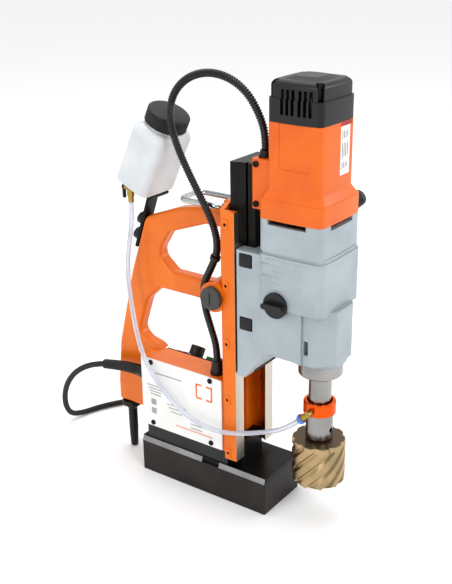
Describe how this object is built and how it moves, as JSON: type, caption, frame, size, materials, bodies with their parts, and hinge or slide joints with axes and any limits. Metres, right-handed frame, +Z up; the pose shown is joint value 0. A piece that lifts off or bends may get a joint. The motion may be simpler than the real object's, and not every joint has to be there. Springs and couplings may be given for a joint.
{
  "type": "magnetic drill press",
  "caption": "Portable magnetic drill press: flat magnet foot, slideways, rack feed, geared spindle with annular cutter, motor, handle and coolant bottle.",
  "frame": {"origin": "middle of the magnet's clamping face, which is also the surface it stands on", "axes": "+Z up along the spindle and the slideways, -Y towards the drilling side, +Y towards the handle"},
  "size_m": [0.2203, 0.4639, 0.551],
  "materials": {
    "magnet_steel": "machined, oiled",
    "black_plate": "black oxide",
    "zinc": "brushed",
    "orange_paint": "gloss powder coat",
    "bare_steel": "ground",
    "brass": "satin",
    "panel_white": "satin print",
    "black_plastic": "satin",
    "orange_plastic": "satin",
    "grey_case": "silver-grey paint",
    "chrome": "polished",
    "gold_coat": "coated",
    "anodised": "anodised",
    "bottle": "milky",
    "rubber": "matt",
    "copper": "enamelled wire",
    "resin": "cast resin",
    "clear_hose": "clear",
    "screw_steel": "zinc",
    "board": "satin",
    "red_plastic": "satin",
    "green_plastic": "satin",
    "lamination": "laminated"
  },
  "bodies": {
    "stand": {"magnet_shell": "magnet_steel", "magnet_coil": "copper", "magnet_potting": "resin", "base_plate": "black_plate", "edge_strips": "zinc", "riser_block": "black_plate", "rails": "orange_paint", "gibs": "brass", "stand_casting": "orange_paint", "handle_frame": "orange_paint", "side_panel": "panel_white", "stand_screws": "screw_steel", "control_panel": "black_plate", "control_board": "board", "support_foot": "rubber", "shaft_bushes": "brass", "cable_gland": "black_plastic", "strain_relief": "rubber", "mains_cord": "rubber", "mains_coil": "rubber", "mains_plug": "black_plastic", "conduit_boot": "black_plastic", "conduit": "black_plastic", "coolant_bottle": "bottle", "bottle_bracket": "black_plate", "coolant_tap": "brass", "coolant_hose": "clear_hose"},
    "speed_knob": {"speed_knob": "black_plastic"},
    "start_button": {"start_button": "green_plastic"},
    "stop_button": {"stop_button": "red_plastic"},
    "magnet_switch": {"magnet_switch": "red_plastic"},
    "tap_lever": {"tap_lever": "black_plastic"},
    "bottle_cap": {"bottle_cap": "black_plastic"},
    "clamp_screw_upper": {"clamp_screw_upper": "black_plastic"},
    "clamp_screw_lower": {"clamp_screw_lower": "black_plastic"},
    "strap_ring": {"strap_ring": "chrome"},
    "feed": {"feed_shaft": "bare_steel", "hub_cap": "black_plastic", "feed_hub": "chrome", "feed_lever": "chrome", "lever_grip": "black_plastic"},
    "carriage": {"slide_bar": "black_plate", "feed_rack": "bare_steel", "gearcase": "grey_case", "gearcase_cover": "grey_case", "motor_housing": "orange_plastic", "motor_cap": "black_plastic", "carriage_screws": "screw_steel", "bearings": "bare_steel", "stator": "lamination", "spindle_collar": "chrome", "coolant_ring": "anodised", "hose_elbow": "brass", "conduit_fitting": "black_plastic"},
    "armature": {"armature": "lamination"},
    "layshaft": {"layshaft": "bare_steel"},
    "spindle": {"spindle": "chrome", "tool_holder": "chrome", "annular_cutter": "gold_coat"},
    "gear_selector": {"gear_selector": "black_plastic"}
  },
  "joints": [
    {"name": "carriage_feed", "type": "slide", "parent": "stand", "child": "carriage", "axis": [0, 0, 1], "range_m": [-0.105, 0.045], "deforming": ["conduit", "coolant_hose"]},
    {"name": "feed_turn", "type": "hinge", "parent": "stand", "child": "feed", "pos_m": [0, -0.027, 0.283], "axis": [1, 0, 0], "range_deg": [-215, 502]},
    {"name": "spindle_spin", "type": "hinge", "parent": "carriage", "child": "spindle", "pos_m": [0, -0.1535, 0.2], "axis": [0, 0, 1], "continuous": true},
    {"name": "layshaft_spin", "type": "hinge", "parent": "carriage", "child": "layshaft", "pos_m": [0.01962, -0.14149, 0.32], "axis": [0, 0, 1], "continuous": true},
    {"name": "armature_spin", "type": "hinge", "parent": "carriage", "child": "armature", "pos_m": [0, -0.134, 0.45], "axis": [0, 0, 1], "continuous": true},
    {"name": "gear_select", "type": "hinge", "parent": "carriage", "child": "gear_selector", "pos_m": [-0.045, -0.1185, 0.295], "axis": [1, 0, 0], "range_deg": [0, 90]},
    {"name": "speed_dial", "type": "hinge", "parent": "stand", "child": "speed_knob", "pos_m": [0.01802, 0.051, 0.15738], "axis": [0.5736, 0, 0.8192], "range_deg": [-135, 135]},
    {"name": "start_press", "type": "slide", "parent": "stand", "child": "start_button", "axis": [0.5736, 0, 0.8192], "range_m": [-0.003, 0], "stiffness_N_per_m": 600},
    {"name": "stop_press", "type": "slide", "parent": "stand", "child": "stop_button", "axis": [0.5736, 0, 0.8192], "range_m": [-0.003, 0], "stiffness_N_per_m": 600},
    {"name": "magnet_rock", "type": "hinge", "parent": "stand", "child": "magnet_switch", "pos_m": [0.01802, 0.075, 0.15738], "axis": [0, 1, 0], "range_deg": [0, 8]},
    {"name": "tap_turn", "type": "hinge", "parent": "stand", "child": "tap_lever", "pos_m": [-0.024, 0.122, 0.392], "axis": [0, 1, 0], "range_deg": [0, 90]},
    {"name": "cap_turn", "type": "hinge", "parent": "stand", "child": "bottle_cap", "pos_m": [0, 0.109, 0.393], "axis": [0, -0.4226, 0.9063], "continuous": true},
    {"name": "clamp_turn_upper", "type": "hinge", "parent": "stand", "child": "clamp_screw_upper", "pos_m": [0, 0.10694, 0.34349], "axis": [0, 0.945, 0.3271], "continuous": true},
    {"name": "clamp_turn_lower", "type": "hinge", "parent": "stand", "child": "clamp_screw_lower", "pos_m": [0, 0.11447, 0.32176], "axis": [0, 0.945, 0.3271], "continuous": true},
    {"name": "ring_swing", "type": "hinge", "parent": "stand", "child": "strap_ring", "pos_m": [0, -0.024, 0.389], "axis": [1, 0, 0], "range_deg": [0, 95]}
  ],
  "couplings": [
    {"joint": "feed_turn", "follows": "carriage_feed", "rad_per_m": -83.333},
    {"joint": "layshaft_spin", "follows": "spindle_spin", "ratio": -2.8333},
    {"joint": "armature_spin", "follows": "spindle_spin", "ratio": 7.0833}
  ]
}
